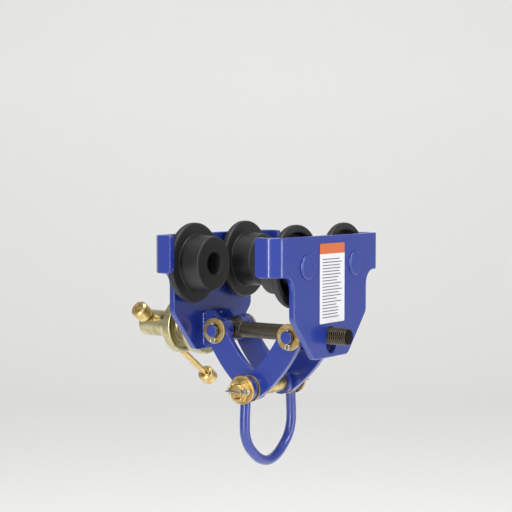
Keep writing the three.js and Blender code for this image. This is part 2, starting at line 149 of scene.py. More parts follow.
view = bpy.data.cameras.new("camera")
view.lens = CAMERA_LENS
view.sensor_width = SENSOR_WIDTH
camera = bpy.data.objects.new("camera", view)
camera.location = CAMERA_PLACE
camera.rotation_euler = Euler((radians(90 - CAMERA_PITCH), 0, radians(CAMERA_AZIMUTH)))
bpy.context.collection.objects.link(camera)
bpy.context.scene.camera = camera

# Side plates: 6 mm hot-rolled steel, flame cut to a T. The ends of the T are folded twice into
# bumpers, and the whole is sprayed with gloss enamel. Each is drawn flat, as the blank is cut,
# and then bent.
# The near plate is on the +X side. Each plate has a front and a rear end, and front is at -Y.
SIDES = (("near", 1), ("far", -1))
ENDS = (("front", -1), ("rear", 1))
CORNERS = [(side, sign, end, way) for side, sign in SIDES for end, way in ENDS]
SIDE_TURN = {1: Matrix.Identity(4), -1: Matrix.Rotation(pi, 4, "Z")}


def enamel(name, colour, deep):
    """Sprayed gloss enamel: a wet-looking coat with faint orange peel and slow drifts of shade."""
    material, tree, shader = surface(name, Roughness=0.38, Coat_Weight=0.75, Coat_Roughness=0.06)
    where = add(tree, "ShaderNodeTexCoord").outputs["Object"]
    drift = add(tree, "ShaderNodeTexNoise", {"Vector": where, "Scale": 1 / (28 * MM), "Detail": 2.0})
    shade = add(tree, "ShaderNodeMix", {0: drift, 6: linear(colour), 7: linear(deep)},
                data_type="RGBA")
    peel = add(tree, "ShaderNodeTexNoise", {"Vector": where, "Scale": 1 / (1.6 * MM), "Detail": 3.0})
    bump = add(tree, "ShaderNodeBump", {"Height": peel, "Strength": 0.12, "Distance": 0.05 * MM})
    feed(tree, shader, {"Base Color": shade.outputs[2], "Normal": bump})
    return material


SAME_POINT = 0.002 * MM
NEARLY_STRAIGHT = 1.56
SHARP_ANGLE = radians(38)


def rounded(corners, step=11):
    """A closed outline from (x, y, radius) corners. Each becomes an arc, in steps of so many degrees."""
    outline = []
    for i, (x, y, radius) in enumerate(corners):
        here = Vector((x, y))
        before = (Vector(corners[i - 1][:2]) - here).normalized()
        after = (Vector(corners[(i + 1) % len(corners)][:2]) - here).normalized()
        half = before.angle(after) / 2
        if radius <= 0 or half > NEARLY_STRAIGHT:
            outline.append((x, y))
            continue
        centre = here + (before + after).normalized() * radius / sin(half)
        start = here + before * radius / tan(half) - centre
        turn = start.angle_signed(here + after * radius / tan(half) - centre)
        count = max(2, round(abs(degrees(turn)) / step))
        for k in range(count + 1):
            outline.append(tuple(centre + Matrix.Rotation(-turn * k / count, 2) @ start))
    return outline


def arc(x, y, radius, start, end, count=24):
    """Points on an arc from one angle to another, in radians."""
    return [(x + radius * cos(a), y + radius * sin(a)) for a in np.linspace(start, end, count)]


def circle(x, y, radius, count=40):
    return arc(x, y, radius, 0, 2 * pi, count + 1)[:-1]


def set_down(holder):
    """The shape of an object with its modifiers applied, as a plain mesh. The object goes."""
    bpy.context.view_layer.update()
    depsgraph = bpy.context.evaluated_depsgraph_get()
    mesh = bpy.data.meshes.new_from_object(holder.evaluated_get(depsgraph))
    bpy.data.objects.remove(holder)
    return mesh


def linked(name, data):
    holder = bpy.data.objects.new(name, data)
    bpy.context.collection.objects.link(holder)
    return holder


def faced_out(mesh, merged=False):
    """Turns every face of a closed mesh outwards, after its doubled points are merged if it has any."""
    shell = bmesh.new()
    shell.from_mesh(mesh)
    if merged:
        bmesh.ops.remove_doubles(shell, verts=shell.verts, dist=SAME_POINT)
    bmesh.ops.recalc_face_normals(shell, faces=shell.faces)
    shell.to_mesh(mesh)
    shell.free()
    return mesh


def flame_cut(name, outline, holes, thickness, edge):
    """A flat plate in X and Y, centred on Z, with its edges rounded."""
    curve = bpy.data.curves.new(name, "CURVE")
    curve.dimensions = "2D"
    curve.fill_mode = "BOTH"
    curve.extrude = thickness / 2 - edge
    curve.bevel_depth = edge
    curve.bevel_resolution = 2
    curve.offset = -edge
    for loop in [outline, *holes]:
        spline = curve.splines.new("POLY")
        spline.points.add(len(loop) - 1)
        spline.use_cyclic_u = True
        for point, (x, y) in zip(spline.points, loop):
            point.co = (x, y, 0, 1)
    return faced_out(set_down(linked(name, curve)), True)


def placed(mesh, *steps):
    """Moves a mesh's points by each matrix or distance in turn."""
    for step in steps:
        mesh.transform(step if isinstance(step, Matrix) else Matrix.Translation(step))
    return mesh


def piece(name, mesh, materials, body, nodes=()):
    """Finishes a piece that is in place: its shading, its body and the nodes it stands for."""
    mesh.materials.clear()
    for material in materials:
        mesh.materials.append(material)
    mesh.shade_smooth()
    mesh.set_sharp_from_angle(angle=SHARP_ANGLE)
    holder = linked(name, mesh)
    holder.modifiers.new("even shading", "WEIGHTED_NORMAL").keep_sharp = True
    made = linked(name, set_down(holder))
    made.name = name
    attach(made, body)
    if nodes:
        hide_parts(*nodes)
    return made


def centre_of(node):
    low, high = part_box(node)
    return (Vector(low) + Vector(high)) / 2


plate_low, plate_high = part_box("side_plate_near")
PLATE_THICK = 6 * MM
PLATE_OUT = plate_high[0]
PLATE_IN = PLATE_OUT - PLATE_THICK
BEND = 8 * MM
FACET = 5 * MM
FACET_RISE = FACET * sqrt(0.5)
FLAT_HALF = plate_high[1] - BEND - FACET_RISE
WING_LOW = 18.5 * MM
BODY_HALF = 60.5 * MM
BODY_FILLET = 13 * MM
TAPER_TOP = -19 * MM
FOOT_HALF = 28 * MM
SLOT_HALF = 8.7 * MM
SLOT_DROP = 6.5 * MM
PLATE_EDGE = 1.0 * MM
AXLE_AT = centre_of("wheel_near_rear")
SPINDLE_Z = centre_of("spindle").z
AXLE_BORE = 8.3 * MM
BEND_LENGTH = (BEND - PLATE_THICK / 2) * pi / 4
BLANK_HALF = FLAT_HALF + FACET + 2 * BEND_LENGTH + PLATE_OUT - BEND - FACET_RISE - plate_low[0]

blue_enamel = enamel("gloss blue enamel", "#122A86", "#162F80")


def bent(run, depth):
    """Where a point of the blank goes when its wings are folded, from its run along it and its depth."""
    left = abs(run)
    if left <= FLAT_HALF:
        return PLATE_OUT - depth, run
    left -= FLAT_HALF
    first = min(left, BEND_LENGTH)
    facet = min(max(left - BEND_LENGTH, 0), FACET)
    second = min(max(left - BEND_LENGTH - FACET, 0), BEND_LENGTH)
    wing = max(left - 2 * BEND_LENGTH - FACET, 0)
    angle = (first + second) / BEND_LENGTH * pi / 4
    slide = facet * sqrt(0.5)
    x = PLATE_OUT - BEND + (BEND - depth) * cos(angle) - slide - wing
    y = FLAT_HALF + (BEND - depth) * sin(angle) + slide
    return x, copysign(y, run)


def side_plate():
    right_half = [
        (FOOT_HALF, plate_low[2], 8 * MM),
        (BODY_HALF, TAPER_TOP, 9 * MM),
        (BODY_HALF, WING_LOW, BODY_FILLET),
        (BLANK_HALF, WING_LOW, 4.5 * MM),
        (BLANK_HALF, plate_high[2], 2.5 * MM),
    ]
    left_half = [(-x, y, radius) for x, y, radius in reversed(right_half)]
    slot = arc(0, SPINDLE_Z, SLOT_HALF, 0, pi)
    slot += arc(0, SPINDLE_Z - SLOT_DROP, SLOT_HALF, pi, 2 * pi)
    bores = [circle(side * AXLE_AT.y, AXLE_AT.z, AXLE_BORE) for side in (-1, 1)]
    mesh = flame_cut("side_plate", rounded(right_half + left_half), [slot, *bores], PLATE_THICK, PLATE_EDGE)
    blank = bmesh.new()
    blank.from_mesh(mesh)
    starts = (FLAT_HALF, FLAT_HALF + BEND_LENGTH + FACET)
    folds = [start + BEND_LENGTH * k / 8 for start in starts for k in range(9)]
    for fold in folds + [-f for f in folds]:
        everything = [*blank.verts, *blank.edges, *blank.faces]
        bmesh.ops.bisect_plane(blank, geom=everything, dist=SAME_POINT / 4, plane_co=(fold, 0, 0),
                               plane_no=(1, 0, 0))
    for vert in blank.verts:
        run, height, depth = vert.co
        x, y = bent(run, PLATE_THICK / 2 - depth)
        vert.co = (x, y, height)
    blank.to_mesh(mesh)
    blank.free()
    return faced_out(mesh)


for side, sign in SIDES:
    piece(f"{side}_side_plate", placed(side_plate(), SIDE_TURN[sign]), [blue_enamel], f"{side}_plate",
          [f"side_plate_{side}"])

# Axles: turned steel stubs put through the plates. The head outside is pressed home and sprayed
# with the plate. The bare spigot inside carries the bearing and the groove of its clip.
TURNED_STEP = 20


def turned(name, corners, segments=64):
    """A closed profile of (radius, height, rounding) corners turned about Z, with its poles closed."""
    angles = [2 * pi * i / segments for i in range(segments)]
    shell = bmesh.new()
    rings = []
    for radius, height in rounded(corners, TURNED_STEP):
        if radius < 0.001 * MM:
            rings.append([shell.verts.new((0, 0, height))] * segments)
        else:
            rings.append([shell.verts.new((radius * cos(a), radius * sin(a), height))
                          for a in angles])
    for low, high in zip(rings, rings[1:] + rings[:1]):
        for i in range(segments):
            k = (i + 1) % segments
            around = list(dict.fromkeys((low[i], low[k], high[k], high[i])))
            if len(around) > 2:
                shell.faces.new(around)
    mesh = bpy.data.meshes.new(name)
    shell.to_mesh(mesh)
    shell.free()
    return faced_out(mesh)


def ring(name, inner, outer, low, high, edge):
    """A plain ring about Z with its edges rounded, such as a washer, a race or a tube."""
    return turned(name, [(inner, low, edge), (outer, low, edge), (outer, high, edge), (inner, high, edge)])


def metal(name, colour, tint, roughness, grain, depth, mottle):
    """Bare or plated metal. Its colour drifts between two shades, and a fine grain breaks up its shine."""
    material, tree, shader = surface(name, Metallic=1.0)
    where = add(tree, "ShaderNodeTexCoord").outputs["Object"]
    drift = add(tree, "ShaderNodeTexNoise", {"Vector": where, "Scale": 1 / mottle, "Detail": 4.0,
                                             "Distortion": 0.6})
    steeper = add(tree, "ShaderNodeMapRange", {"Value": drift, "From Min": 0.34, "From Max": 0.66})
    shade = add(tree, "ShaderNodeMix", {0: steeper, 6: linear(colour), 7: linear(tint)},
                data_type="RGBA")
    fine = add(tree, "ShaderNodeTexNoise", {"Vector": where, "Scale": 1 / grain, "Detail": 3.0})
    low, high = roughness
    gloss = add(tree, "ShaderNodeMapRange", {"Value": fine, "To Min": low, "To Max": high})
    bump = add(tree, "ShaderNodeBump", {"Height": fine, "Strength": 0.35, "Distance": depth})
    feed(tree, shader, {"Base Color": shade.outputs[2], "Roughness": gloss, "Normal": bump})
    return material


ALONG_X = Matrix.Rotation(pi / 2, 4, "Y")

# Bright drawn or ground steel: an even grey shine with a soft grain.
bright_steel = metal("bright drawn steel", "#BFC0C2", "#A9ABAE", (0.2, 0.38), 0.5 * MM, 0.01 * MM, 9 * MM)

axle_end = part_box("axle_near_rear")[0][0]
head_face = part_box("axle_near_rear")[1][0]
SPIGOT_R = 6 * MM
GROOVE_R = 5.3 * MM
GROOVE = (48 * MM, 49.7 * MM)
SHOULDER = 58.4 * MM
SHANK_R = 8 * MM
HEAD_R = 11 * MM
CLEARANCE = 0.3 * MM
axle_profile = [
    (0, axle_end, 0),
    (SPIGOT_R, axle_end, 0.8 * MM),
    (SPIGOT_R, GROOVE[0], 0),
    (GROOVE_R, GROOVE[0], 0),
    (GROOVE_R, GROOVE[1], 0),
    (SPIGOT_R, GROOVE[1], 0),
    (SPIGOT_R, SHOULDER, 0),
    (10 * MM, SHOULDER, 0.5 * MM),
    (10 * MM, PLATE_IN - CLEARANCE, 0.3 * MM),
    (SHANK_R, PLATE_IN - CLEARANCE, 0),
    (SHANK_R, PLATE_OUT + CLEARANCE, 0),
    (HEAD_R, PLATE_OUT + CLEARANCE, 0),
    (HEAD_R, head_face, 1.4 * MM),
    (0, head_face, 0),
]

for side, sign, end, way in CORNERS:
    place = Vector((0, way * AXLE_AT.y, AXLE_AT.z))
    axle = placed(turned("axle", axle_profile), ALONG_X, SIDE_TURN[sign], place)
    made = piece(f"{side}_{end}_axle", axle, [bright_steel, blue_enamel], f"{side}_plate",
                 [f"axle_{side}_{end}"])
    for face in made.data.polygons:
        face.material_index = int(abs(face.center.x) > SHOULDER - 0.1 * MM)

# Wheels: cast iron, turned on the tread, the flange and the bore, and sprayed satin black. The
# outer face is dished between the flange and the hub. A sealed ball bearing is pressed into each.
wheel_in, wheel_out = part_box("wheel_near_rear")[0][0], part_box("wheel_near_rear")[1][0]
RIM_R = 36.5 * MM
RIM_INNER = wheel_out - 6 * MM
DISH_FACE = wheel_out - 5 * MM
TREAD_R = AXLE_AT.z
TREAD_SMALL_R = 24.4 * MM
HUB_R = 18 * MM
BORE_R = 10.5 * MM
BEARING_R = 14 * MM
BEARING_BACK = wheel_out - 8 * MM
wheel_profile = [
    (BORE_R, wheel_in, 0.6 * MM),
    (TREAD_SMALL_R, wheel_in, 1.5 * MM),
    (TREAD_R, RIM_INNER, 1.0 * MM),
    (RIM_R, RIM_INNER, 2.0 * MM),
    (RIM_R, wheel_out, 1.6 * MM),
    (RIM_R - 6.5 * MM, wheel_out, 1.2 * MM),
    (RIM_R - 7.5 * MM, DISH_FACE, 2.0 * MM),
    (HUB_R + 1 * MM, DISH_FACE, 2.0 * MM),
    (HUB_R, wheel_out, 0.8 * MM),
    (BEARING_R + CLEARANCE, wheel_out, 0.4 * MM),
    (BEARING_R + CLEARANCE, BEARING_BACK - CLEARANCE, 0),
    (BORE_R, BEARING_BACK - CLEARANCE, 0.4 * MM),
]
SEAL_DEPTH = 0.5 * MM
SEAL_IN = 8 * MM
SEAL_OUT = 12.2 * MM
bearing_profile = [
    (SPIGOT_R + CLEARANCE, BEARING_BACK, 0.4 * MM),
    (SEAL_IN, BEARING_BACK, 0.2 * MM),
    (SEAL_IN, BEARING_BACK + SEAL_DEPTH, 0),
    (SEAL_OUT, BEARING_BACK + SEAL_DEPTH, 0),
    (SEAL_OUT, BEARING_BACK, 0.2 * MM),
    (BEARING_R, BEARING_BACK, 0.6 * MM),
    (BEARING_R, wheel_out, 0.6 * MM),
    (SEAL_OUT, wheel_out, 0.2 * MM),
    (SEAL_OUT, wheel_out - SEAL_DEPTH, 0),
    (SEAL_IN, wheel_out - SEAL_DEPTH, 0),
    (SEAL_IN, wheel_out, 0.2 * MM),
    (SPIGOT_R + CLEARANCE, wheel_out, 0.4 * MM),
]


def satin_paint(name, colour, wear_and_crest_light):
    """Thin satin paint over a casting: the casting's grain shows through, and handling has dulled it."""
    material, tree, shader = surface(name, Specular_IOR_Level=0.45)
    where = add(tree, "ShaderNodeTexCoord").outputs["Object"]
    handling = add(tree, "ShaderNodeTexNoise", {"Vector": where, "Scale": 1 / (14 * MM), "Detail": 5.0})
    shade = add(tree, "ShaderNodeMix", {0: handling, 6: linear(colour), 7: linear(wear_and_crest_light)},
                data_type="RGBA")
    gloss = add(tree, "ShaderNodeMapRange", {"Value": handling, "To Min": 0.34, "To Max": 0.5})
    sand = add(tree, "ShaderNodeTexNoise", {"Vector": where, "Scale": 1 / (0.9 * MM), "Detail": 4.0})
    bump = add(tree, "ShaderNodeBump", {"Height": sand, "Strength": 0.3, "Distance": 0.08 * MM})
    feed(tree, shader, {"Base Color": shade.outputs[2], "Roughness": gloss, "Normal": bump})
    return material


# Nitrile seal: dull black rubber with a moulded skin.
black_paint = satin_paint("satin black paint on cast iron", "#121213", "#211F1D")
seal_rubber = satin_paint("black nitrile rubber", "#161616", "#202020")

for side, sign, end, way in CORNERS:
    place = Vector((0, way * AXLE_AT.y, AXLE_AT.z))
    body = f"wheel_{side}_{end}"
    wheel = placed(turned("wheel", wheel_profile, 96), ALONG_X, SIDE_TURN[sign], place)
    piece(f"{side}_{end}_wheel", wheel, [black_paint], body, [f"wheel_{side}_{end}"])
    bearing = placed(turned("bearing", bearing_profile), ALONG_X, SIDE_TURN[sign], place)
    made = piece(f"{side}_{end}_bearing", bearing, [bright_steel, seal_rubber], body,
                 [f"wheel_bearing_{side}_{end}"])
    for face in made.data.polygons:
        out = hypot(face.center.y - place.y, face.center.z - place.z)
        face.material_index = int(SEAL_IN < out < SEAL_OUT)

# Axle clips: stamped spring-steel rings, open on one side, snapped into the axle's groove to keep
# the bearing on. They are left bright.
# A drawing in X and Y, set up with its X along Y, its Y along Z and its thickness along X.
FACING_X = Matrix(((0, 0, 1, 0), (1, 0, 0, 0), (0, 1, 0, 0), (0, 0, 0, 1)))
CLIP_THICK = 1.1 * MM
CLIP_OUT = 9 * MM
CLIP_IN = 5.65 * MM
CLIP_OPEN = 0.45
clip_x = centre_of("axle_clip_near_rear").x
outer_arc = arc(0, 0, CLIP_OUT, CLIP_OPEN, 2 * pi - CLIP_OPEN, 48)
inner_arc = arc(0, 0, CLIP_IN, 2 * pi - CLIP_OPEN, CLIP_OPEN, 40)

for side, sign, end, way in CORNERS:
    clip = flame_cut("clip", outer_arc + inner_arc, [], CLIP_THICK, 0.15 * MM)
    place = Vector((0, way * AXLE_AT.y, AXLE_AT.z))
    placed(clip, FACING_X, Vector((clip_x, 0, 0)), SIDE_TURN[sign], place)
    piece(f"{side}_{end}_clip", clip, [bright_steel], f"{side}_plate",
          [f"axle_clip_{side}_{end}"])

# Lugs: two 6 mm ears on the inside of each plate that hold the trunnion. They are flame cut and
# fillet welded along both sides of the root, before the plate is sprayed.
# A drawing in X and Y, stood up with its Y along Z and its thickness along Y.
FACING_Y = Matrix.Rotation(pi / 2, 4, "X")
lug_low, lug_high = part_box("lug_near_rear")
TRUNNION_AT = centre_of("trunnion_near")
LUG_THICK = 6 * MM
LUG_NOSE_R = 11.5 * MM
PIN_BORE = 6.05 * MM
LUG_STEP = 8 * MM
WELD_R = 2.3 * MM
WELD_RIPPLE = 1.7 * MM
RIPPLE_LAG = 0.35
BLUNT_ENDS = 14.0


MATH = "ShaderNodeMath"


def open_tree(name, **kinds):
    """A new geometry node tree, and its inputs by name. Each is given as the kind of its socket."""
    tree = bpy.data.node_groups.new(name, "GeometryNodeTree")
    for socket, kind in kinds.items():
        tree.interface.new_socket(name=socket, in_out="INPUT", socket_type=f"NodeSocket{kind}")
    tree.interface.new_socket(name="Geometry", in_out="OUTPUT", socket_type="NodeSocketGeometry")
    return tree, add(tree, "NodeGroupInput").outputs


def close_tree(tree, shape, material):
    """Ends a tree: what it made becomes real and takes its material."""
    real = add(tree, "GeometryNodeRealizeInstances", {"Geometry": shape})
    dressed = add(tree, "GeometryNodeSetMaterial", {"Geometry": real, "Material": material})
    add(tree, "NodeGroupOutput", {"Geometry": dressed})
    return tree


def weld_bead_tree():
    """A round bead along Z. Its crescent ripples and its slow swell are what a welder's hand leaves."""
    tree, given = open_tree("weld bead", Length="Float", Size="Float", Ripple="Float", Seed="Float",
                            Material="Material")
    grid = add(tree, "GeometryNodeMeshGrid", {"Size X": given["Length"], "Size Y": 1.0, "Vertices X": 150,
                                              "Vertices Y": 21})
    at = add(tree, "ShaderNodeSeparateXYZ", {0: add(tree, "GeometryNodeInputPosition")})
    angle = add(tree, MATH, {0: at.outputs["Y"], 1: 2 * pi}, operation="MULTIPLY")
    cosine = add(tree, MATH, {0: angle}, operation="COSINE")
    sine = add(tree, MATH, {0: angle}, operation="SINE")
    lag = add(tree, MATH, {0: cosine, 1: RIPPLE_LAG}, operation="MULTIPLY")
    steps = add(tree, MATH, {0: at.outputs["X"], 1: given["Ripple"]}, operation="DIVIDE")
    wave = add(tree, MATH, {0: steps, 1: lag}, operation="ADD")
    scallop = add(tree, MATH, {0: wave, 1: 1.0}, operation="PINGPONG")
    swell = add(tree, "ShaderNodeTexNoise", {"W": given["Seed"], "Scale": 1 / (6 * MM), "Detail": 1.0},
                noise_dimensions="4D")
    height = add(tree, "ShaderNodeMapRange", {"Value": scallop, "To Min": 0.8, "To Max": 0.95})
    drift = add(tree, "ShaderNodeMapRange", {"Value": swell, "To Min": -0.12, "To Max": 0.12})
    share = add(tree, MATH, {0: height, 1: drift}, operation="ADD")
    along = add(tree, MATH, {0: at.outputs["X"], 1: given["Length"]}, operation="DIVIDE")
    twice = add(tree, MATH, {0: along, 1: 2.0}, operation="MULTIPLY")
    spread = add(tree, MATH, {0: twice}, operation="ABSOLUTE")
    steep = add(tree, MATH, {0: spread, 1: BLUNT_ENDS}, operation="POWER")
    short = add(tree, MATH, {0: 1.0, 1: steep}, operation="SUBTRACT", use_clamp=True)
    close = add(tree, MATH, {0: short}, operation="SQRT")
    thick = add(tree, MATH, {0: share, 1: close}, operation="MULTIPLY")
    radius = add(tree, MATH, {0: thick, 1: given["Size"]}, operation="MULTIPLY")
    x = add(tree, MATH, {0: cosine, 1: radius}, operation="MULTIPLY")
    y = add(tree, MATH, {0: sine, 1: radius}, operation="MULTIPLY")
    spot = add(tree, "ShaderNodeCombineXYZ", {"X": x, "Y": y, "Z": at.outputs["X"]})
    bead = add(tree, "GeometryNodeSetPosition", {"Geometry": grid, "Position": spot})
    whole = add(tree, "GeometryNodeMergeByDistance", {"Geometry": bead, "Distance": SAME_POINT})
    return close_tree(tree, whole, given["Material"])


def grown(name, tree, start=None, **inputs):
    """What a node tree makes, as a plain mesh, from the inputs that it names."""
    holder = linked(name, start or bpy.data.meshes.new(name))
    modifier = holder.modifiers.new(name, "NODES")
    modifier.node_group = tree
    for socket in tree.interface.items_tree:
        if socket.in_out == "INPUT" and socket.name in inputs:
            modifier[socket.identifier] = inputs[socket.name]
    return faced_out(set_down(holder))


def gathered(name, meshes):
    """Several meshes as one."""
    shell = bmesh.new()
    for mesh in meshes:
        shell.from_mesh(mesh)
    whole = bpy.data.meshes.new(name)
    shell.to_mesh(whole)
    shell.free()
    return whole


weld_bead = weld_bead_tree()
lug_outline = [(lug_high[0], lug_low[2]), (lug_high[0], lug_high[2]), (TRUNNION_AT.x + LUG_STEP, lug_high[2])]
lug_outline += arc(TRUNNION_AT.x, TRUNNION_AT.z, LUG_NOSE_R, 0.4 * pi, 1.5 * pi)
lug_hole = circle(TRUNNION_AT.x, TRUNNION_AT.z, PIN_BORE)
lug_y = centre_of("lug_near_rear").y

for side, sign, end, way in CORNERS:
    lug = placed(flame_cut("lug", lug_outline, [lug_hole], LUG_THICK, 0.6 * MM), FACING_Y)
    beads = []
    for face in (-1, 1):
        seed = 7.0 * sign + 3.0 * way + face
        bead = grown("bead", weld_bead, Length=float(lug_high[2] - lug_low[2]) - 3 * MM, Size=WELD_R,
                     Ripple=WELD_RIPPLE, Seed=seed, Material=blue_enamel)
        middle = (lug_high[2] + lug_low[2]) / 2
        beads.append(placed(bead, Vector((PLATE_IN - 0.5 * MM, face * (LUG_THICK / 2 + 0.4 * MM), middle))))
    whole = placed(gathered("lug", [lug, *beads]), SIDE_TURN[sign], Vector((0, way * lug_y, 0)))
    piece(f"{side}_{end}_lug", whole, [blue_enamel], f"{side}_plate", [f"lug_{side}_{end}"])

# Trunnions: round steel bars turned down to a pin at each end, drilled and tapped across for the
# spindle. They are blackened and oiled, and the pin ends caught the spray when the arms were on.
ALONG_Y = Matrix.Rotation(-pi / 2, 4, "X")

# Oiled black oxide: nearly black, with a warm brown drift and a soft oily shine.
black_oxide = metal("oiled black oxide steel", "#76716A", "#4B4640", (0.24, 0.42), 0.6 * MM, 0.012 * MM,
                    11 * MM)


def drilled(mesh, *drills):
    """A mesh with each drill's shape taken out of it."""
    for drill in drills:
        tool = linked("drill", drill)
        holder = linked("work", mesh)
        cut = holder.modifiers.new("cut", "BOOLEAN")
        cut.operation = "DIFFERENCE"
        cut.solver = "EXACT"
        cut.object = tool
        mesh = set_down(holder)
        bpy.data.objects.remove(tool)
    return mesh


def round_bar(radius, low, high, edge=0.0):
    """A solid bar along Z, with its ends eased."""
    return turned("rod", [(0, low, 0), (radius, low, edge), (radius, high, edge), (0, high, 0)], 48)


def drill(radius, reach, *steps):
    """A drill along Z, long enough to pass through, moved by the steps."""
    return placed(round_bar(radius, -reach, reach), *steps)


TRUNNION_R = 11 * MM
TRUNNION_HALF = 10.2 * MM
PIN_R = 5.75 * MM
SPINDLE_BORE = 8.05 * MM
SPLIT_HOLE = 1.5 * MM

for side, sign in SIDES:
    pin_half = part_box(f"trunnion_{side}")[1][1]
    painted_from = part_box(f"pivot_washer_{side}_rear")[1][1]
    split_y = centre_of(f"pivot_cotter_{side}_rear").y
    half = [(0, pin_half, 0), (PIN_R, pin_half, 1.0 * MM), (PIN_R, TRUNNION_HALF, 0),
            (TRUNNION_R, TRUNNION_HALF, 0.6 * MM)]
    profile = [(r, -y, edge) for r, y, edge in half] + half[::-1]
    bar = placed(turned("trunnion", profile), ALONG_Y)
    bar = drilled(
        bar,
        drill(SPINDLE_BORE, 14 * MM, ALONG_X),
        drill(SPLIT_HOLE, 8 * MM, Vector((0, -split_y, 0))),
        drill(SPLIT_HOLE, 8 * MM, ALONG_X, Vector((0, split_y, 0))),
    )
    placed(bar, Vector((sign * TRUNNION_AT.x, 0, TRUNNION_AT.z)))
    made = piece(f"{side}_trunnion", bar, [black_oxide, blue_enamel], f"{side}_plate",
                 [f"trunnion_{side}"])
    for face in made.data.polygons:
        face.material_index = int(abs(face.center.y) > painted_from - 0.4 * MM)

# Pivot washers and spacers: plain washers and short tubes on the trunnion pins, either side of the
# arms. They are plated in yellow chromate zinc.
# Yellow chromate over zinc: a straw-gold film that drifts to olive and brown where it is thicker.
gold_zinc = metal("yellow chromate zinc plate", "#DAC892", "#BF9B5A", (0.24, 0.4), 0.8 * MM, 0.004 * MM,
                  7 * MM)
WASHER_R = 12 * MM
SPACER_R = 10.5 * MM

for side, sign, end, way in CORNERS:
    place = Vector((sign * TRUNNION_AT.x, 0, TRUNNION_AT.z))
    low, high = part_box(f"pivot_washer_{side}_{end}")
    washer = ring("washer", PIN_BORE, WASHER_R, low[1], high[1], 0.35 * MM)
    piece(f"{side}_{end}_pivot_washer", placed(washer, ALONG_Y, place), [gold_zinc], f"{side}_plate",
          [f"pivot_washer_{side}_{end}"])
    low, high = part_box(f"pivot_spacer_{side}_{end}")
    spacer = ring("spacer", PIN_BORE, SPACER_R, low[1], high[1], 0.3 * MM)
    piece(f"{side}_{end}_pivot_spacer", placed(spacer, ALONG_Y, place), [gold_zinc], f"{side}_plate",
          [f"pivot_spacer_{side}_{end}"])

# Split pins: one length of half-round bright wire each, folded back on itself round an eye. The
# two legs lie together through the hole, and their ends are spread to hold the pin in.
WIRE_R = 0.71 * MM
EYE_R = 2.3 * MM


def bent_wire_tree():
    """Round wire along a drawn line, with flat closed ends."""
    tree, given = open_tree("bent wire", Line="Geometry", Radius="Float", Material="Material")
    line = add(tree, "GeometryNodeMeshToCurve", {"Mesh": given["Line"]})
    section = add(tree, "GeometryNodeCurvePrimitiveCircle", {"Resolution": 14, "Radius": given["Radius"]})
    wire = add(tree, "GeometryNodeCurveToMesh", {"Curve": line, "Fill Caps": True,
                                                 "Profile Curve": section})
    return close_tree(tree, wire, given["Material"])


bent_wire = bent_wire_tree()


def drawn_line(name, points):
    line = bpy.data.meshes.new(name)
    line.from_pydata(points, [(i, i + 1) for i in range(len(points) - 1)], [])
    return line


def split_pin(reach, length, spread, fold=0.0):
    """A split pin along Z, with its eye below -reach. Its legs end at length, bent aside by spread. Given
    a fold, one leg turns back over the end of the pin it locks, that far off the hole."""
    gap = WIRE_R * 1.04
    lean = asin(gap / EYE_R)
    eye_z = -reach - EYE_R
    eye = arc(0, eye_z, EYE_R, pi / 2 - lean, -1.5 * pi + lean, 30)
    curl = [(gap + spread * t * t, length - spread * (1 - t) * 0.4 - 0.2 * MM) for t in np.linspace(0, 1, 6)]
    shank = [(gap, z) for z in np.linspace(-reach + 1.2 * MM, curl[0][1] - spread * 0.6, 4)]
    leg = shank + curl[1:]
    first = [(x, 0, z) for x, z in leg[::-1]]
    if fold:
        turn = arc(fold / 2, reach + 0.6 * MM, fold / 2, pi, 0, 10)
        first = [(1.8 * MM, fold, -0.45 * reach), (gap, fold, 0.2 * reach)]
        first += [(gap, y, z) for y, z in turn[::-1]] + [(gap, 0, 0.4 * reach), (gap, 0, 1.2 * MM - reach)]
    route = first + [(x, 0, z) for x, z in eye] + [(-x, 0, z) for x, z in leg]
    return grown("split_pin", bent_wire, drawn_line("route", route), Radius=WIRE_R, Material=bright_steel)


for side, sign, end, way in CORNERS:
    low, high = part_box(f"pivot_cotter_{side}_{end}")
    middle = (Vector(low) + Vector(high)) / 2
    reach = PIN_R + 0.4 * MM
    if way < 0:
        pin = split_pin(reach, high[2] - TRUNNION_AT.z, 0.5 * MM)
    else:
        pin = placed(split_pin(reach, high[0] - sign * TRUNNION_AT.x, 0.6 * MM), ALONG_X)
    placed(pin, Vector((sign * TRUNNION_AT.x, middle.y, TRUNNION_AT.z)))
    piece(f"{side}_{end}_pivot_split_pin", pin, [bright_steel], f"{side}_plate",
          [f"pivot_cotter_{side}_{end}"])

# Arms: four curved links, flame cut from 6 mm plate with round ends and sprayed. The near pair
# straddles the far pair on the load pin.
LOAD_Z = centre_of("load_pin").z
ARM_THICK = 5.7 * MM
ARM_HALF = 11.5 * MM
ARM_BOW = 4.5 * MM
LOAD_PIN_R = 6.35 * MM
LOAD_BORE = LOAD_PIN_R + CLEARANCE
ARM_EDGE = 0.7 * MM


